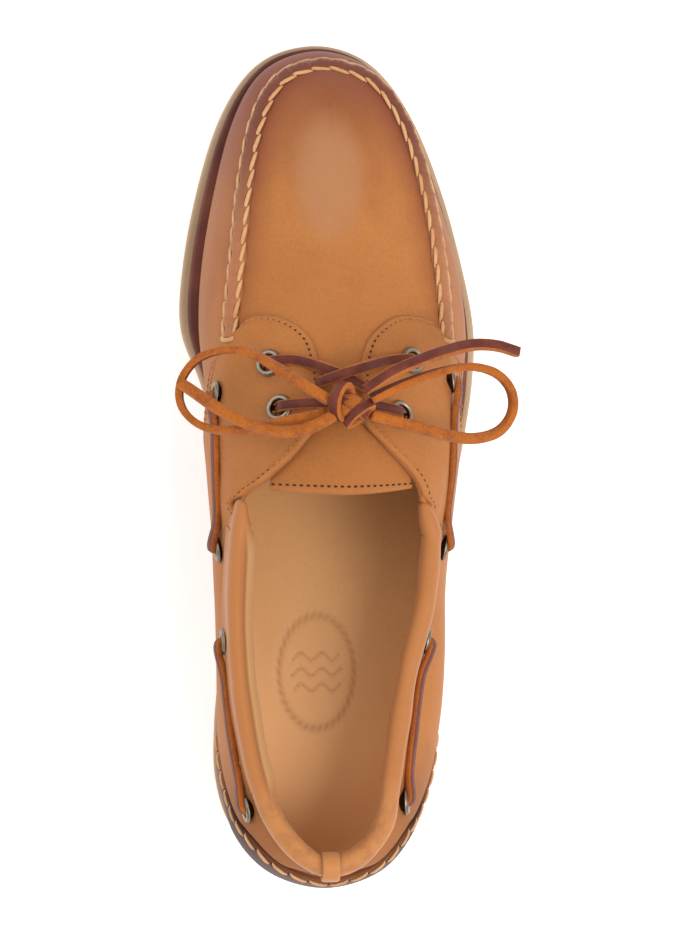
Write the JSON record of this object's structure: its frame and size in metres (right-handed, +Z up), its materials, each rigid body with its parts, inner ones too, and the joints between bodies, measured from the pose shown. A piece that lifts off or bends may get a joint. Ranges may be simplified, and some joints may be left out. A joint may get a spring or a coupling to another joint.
{
  "type": "boat shoe",
  "caption": "Low laced moccasin shoe for a right foot: hollow upper with a hand-sewn plug, padded collar, flat rubber sole and a tied bow.",
  "frame": {"origin": "on the ground under the middle of the shoe's own box, its lace bow left out", "axes": "+X to the lateral side, +Y to the toe, +Z up"},
  "size_m": [0.1158, 0.2944, 0.1001],
  "materials": {
    "rubber": "matt moulded rubber, light tan-grey",
    "dark_leather": "dark red-brown edge-dyed leather",
    "nubuck": "tan nubuck, burnished darker at the toe and the heel",
    "seam_leather": "gathered nubuck ridge",
    "collar_leather": "smooth soft orange-tan leather",
    "insole_leather": "smooth light tan lining leather",
    "rawhide": "burgundy rawhide with orange cut edges",
    "eyelet_metal": "dark antique metal with a worn bright rim",
    "thread": "waxed cream thread"
  },
  "bodies": {
    "root": {"outsole": "rubber", "midsole": "dark_leather", "insole": "insole_leather", "upper": "nubuck", "tongue": "nubuck", "moc_seam": "seam_leather", "quarter_medial": "nubuck", "quarter_lateral": "nubuck", "heel_counter": "nubuck", "collar": "collar_leather", "back_tab": "collar_leather", "eyelet_medial_front": "eyelet_metal", "eyelet_medial_rear": "eyelet_metal", "eyelet_medial_side_1": "eyelet_metal", "eyelet_medial_side_2": "eyelet_metal", "eyelet_medial_side_3": "eyelet_metal", "eyelet_medial_side_4": "eyelet_metal", "eyelet_lateral_front": "eyelet_metal", "eyelet_lateral_rear": "eyelet_metal", "eyelet_lateral_side_1": "eyelet_metal", "eyelet_lateral_side_2": "eyelet_metal", "eyelet_lateral_side_3": "eyelet_metal", "eyelet_lateral_side_4": "eyelet_metal", "side_lace_medial_front": "rawhide", "side_lace_medial_rear": "rawhide", "side_lace_lateral_front": "rawhide", "side_lace_lateral_rear": "rawhide", "lace_crossing": "rawhide", "lace_bridge": "rawhide", "lace_knot": "rawhide", "loop_medial": "rawhide", "loop_lateral": "rawhide", "end_medial": "rawhide", "end_lateral": "rawhide"}
  },
  "joints": []
}
